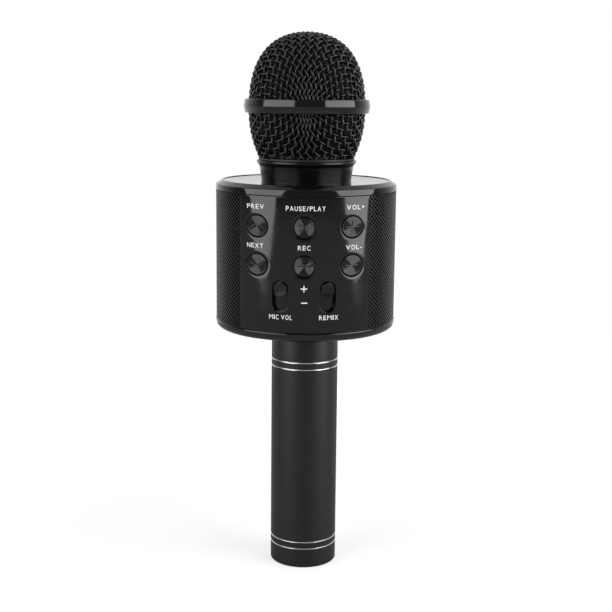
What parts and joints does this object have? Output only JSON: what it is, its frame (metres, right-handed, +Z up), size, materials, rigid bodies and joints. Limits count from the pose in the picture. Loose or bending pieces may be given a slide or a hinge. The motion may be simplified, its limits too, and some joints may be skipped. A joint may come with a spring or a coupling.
{
  "type": "karaoke microphone",
  "caption": "Handheld karaoke microphone with a speaker drum below the head, front keys and sliders, a woven wire grille and a slim tubular handle.",
  "frame": {"origin": "centre of the handle's lower end, on the surface that the microphone stands on", "axes": "+Z up along the handle to the head, front panel with the keys towards -Y, +X to the right of the keys"},
  "size_m": [0.0826, 0.0826, 0.2473],
  "materials": {
    "gloss_black": "moulded, polished",
    "key_black": "moulded, turned rings on the face",
    "grille_steel": "perforated, black powder coat",
    "mesh_wire": "woven wire, satin black paint",
    "handle_aluminium": "black anodised, fine blast",
    "black_plastic": "moulded",
    "plated_steel": "nickel plated",
    "screw_steel": "black oxide",
    "ferrite": "sintered",
    "cell_wrap": "shrink wrap",
    "capsule_plastic": "moulded",
    "paper_cone": "pressed paper",
    "surround_rubber": "moulded",
    "board_green": "solder mask",
    "chip_black": "epoxy",
    "black_cloth": "woven",
    "foam": "open-cell foam",
    "lead_pvc": "PVC sleeve"
  },
  "bodies": {
    "housing": {"aux_socket": "black_plastic", "battery_cell": "cell_wrap", "battery_contact": "plated_steel", "battery_cradle_front": "black_plastic", "battery_cradle_rear": "black_plastic", "battery_lead": "lead_pvc", "battery_spring": "plated_steel", "board_chips": "chip_black", "board_screws": "screw_steel", "bottom_cover": "gloss_black", "bottom_cover_screws": "screw_steel", "capsule_body": "capsule_plastic", "capsule_cradle": "black_plastic", "capsule_lead": "lead_pvc", "capsule_screen": "plated_steel", "card_slot": "plated_steel", "charging_socket": "plated_steel", "coupler_screws": "screw_steel", "end_cap": "black_plastic", "front_panel": "gloss_black", "grille_cloth": "black_cloth", "handle_coupler": "black_plastic", "handle_tube": "handle_aluminium", "inner_chassis": "black_plastic", "main_board": "board_green", "neck_collar": "gloss_black", "neck_nut": "black_plastic", "port_board": "board_green", "power_switch_body": "black_plastic", "slide_pots": "black_plastic", "speaker_basket": "plated_steel", "speaker_cone": "paper_cone", "speaker_dust_cap": "paper_cone", "speaker_grille": "grille_steel", "speaker_lead": "lead_pvc", "speaker_magnet": "ferrite", "speaker_screws": "screw_steel", "speaker_surround": "surround_rubber", "speaker_top_plate": "plated_steel", "speaker_yoke": "plated_steel", "tact_switches": "black_plastic", "top_cover": "gloss_black", "usb_socket": "plated_steel"},
    "head": {"upper_grille": "mesh_wire", "lower_grille": "mesh_wire", "grille_ring": "gloss_black", "foam_windscreen": "foam", "head_thread_ring": "black_plastic"},
    "previous_key": {"previous_button": "key_black"},
    "play_key": {"play_button": "key_black"},
    "volume_up_key": {"volume_up_button": "key_black"},
    "next_key": {"next_button": "key_black"},
    "record_key": {"record_button": "key_black"},
    "volume_down_key": {"volume_down_button": "key_black"},
    "mic_volume_slide": {"mic_volume_slider": "key_black", "mic_volume_lever": "plated_steel"},
    "remix_slide": {"remix_slider": "key_black", "remix_lever": "plated_steel"},
    "power_switch": {"power_switch_knob": "key_black"}
  },
  "joints": [
    {"name": "head_unscrew", "type": "slide", "parent": "housing", "child": "head", "axis": [0, 0, 1], "range_m": [0, 0.045]},
    {"name": "previous_press", "type": "slide", "parent": "housing", "child": "previous_key", "axis": [0, 1, 0], "range_m": [0, 0.0006], "stiffness_N_per_m": 1500, "springref_m": -0.0003},
    {"name": "play_press", "type": "slide", "parent": "housing", "child": "play_key", "axis": [0, 1, 0], "range_m": [0, 0.0006], "stiffness_N_per_m": 1500, "springref_m": -0.0003},
    {"name": "volume_up_press", "type": "slide", "parent": "housing", "child": "volume_up_key", "axis": [0, 1, 0], "range_m": [0, 0.0006], "stiffness_N_per_m": 1500, "springref_m": -0.0003},
    {"name": "next_press", "type": "slide", "parent": "housing", "child": "next_key", "axis": [0, 1, 0], "range_m": [0, 0.0006], "stiffness_N_per_m": 1500, "springref_m": -0.0003},
    {"name": "record_press", "type": "slide", "parent": "housing", "child": "record_key", "axis": [0, 1, 0], "range_m": [0, 0.0006], "stiffness_N_per_m": 1500, "springref_m": -0.0003},
    {"name": "volume_down_press", "type": "slide", "parent": "housing", "child": "volume_down_key", "axis": [0, 1, 0], "range_m": [0, 0.0006], "stiffness_N_per_m": 1500, "springref_m": -0.0003},
    {"name": "mic_volume_travel", "type": "slide", "parent": "housing", "child": "mic_volume_slide", "axis": [0, 0, 1], "range_m": [-0.0055, 0]},
    {"name": "remix_travel", "type": "slide", "parent": "housing", "child": "remix_slide", "axis": [0, 0, 1], "range_m": [-0.0055, 0]},
    {"name": "power_travel", "type": "slide", "parent": "housing", "child": "power_switch", "axis": [0, 1, 0], "range_m": [0, 0.003]}
  ]
}
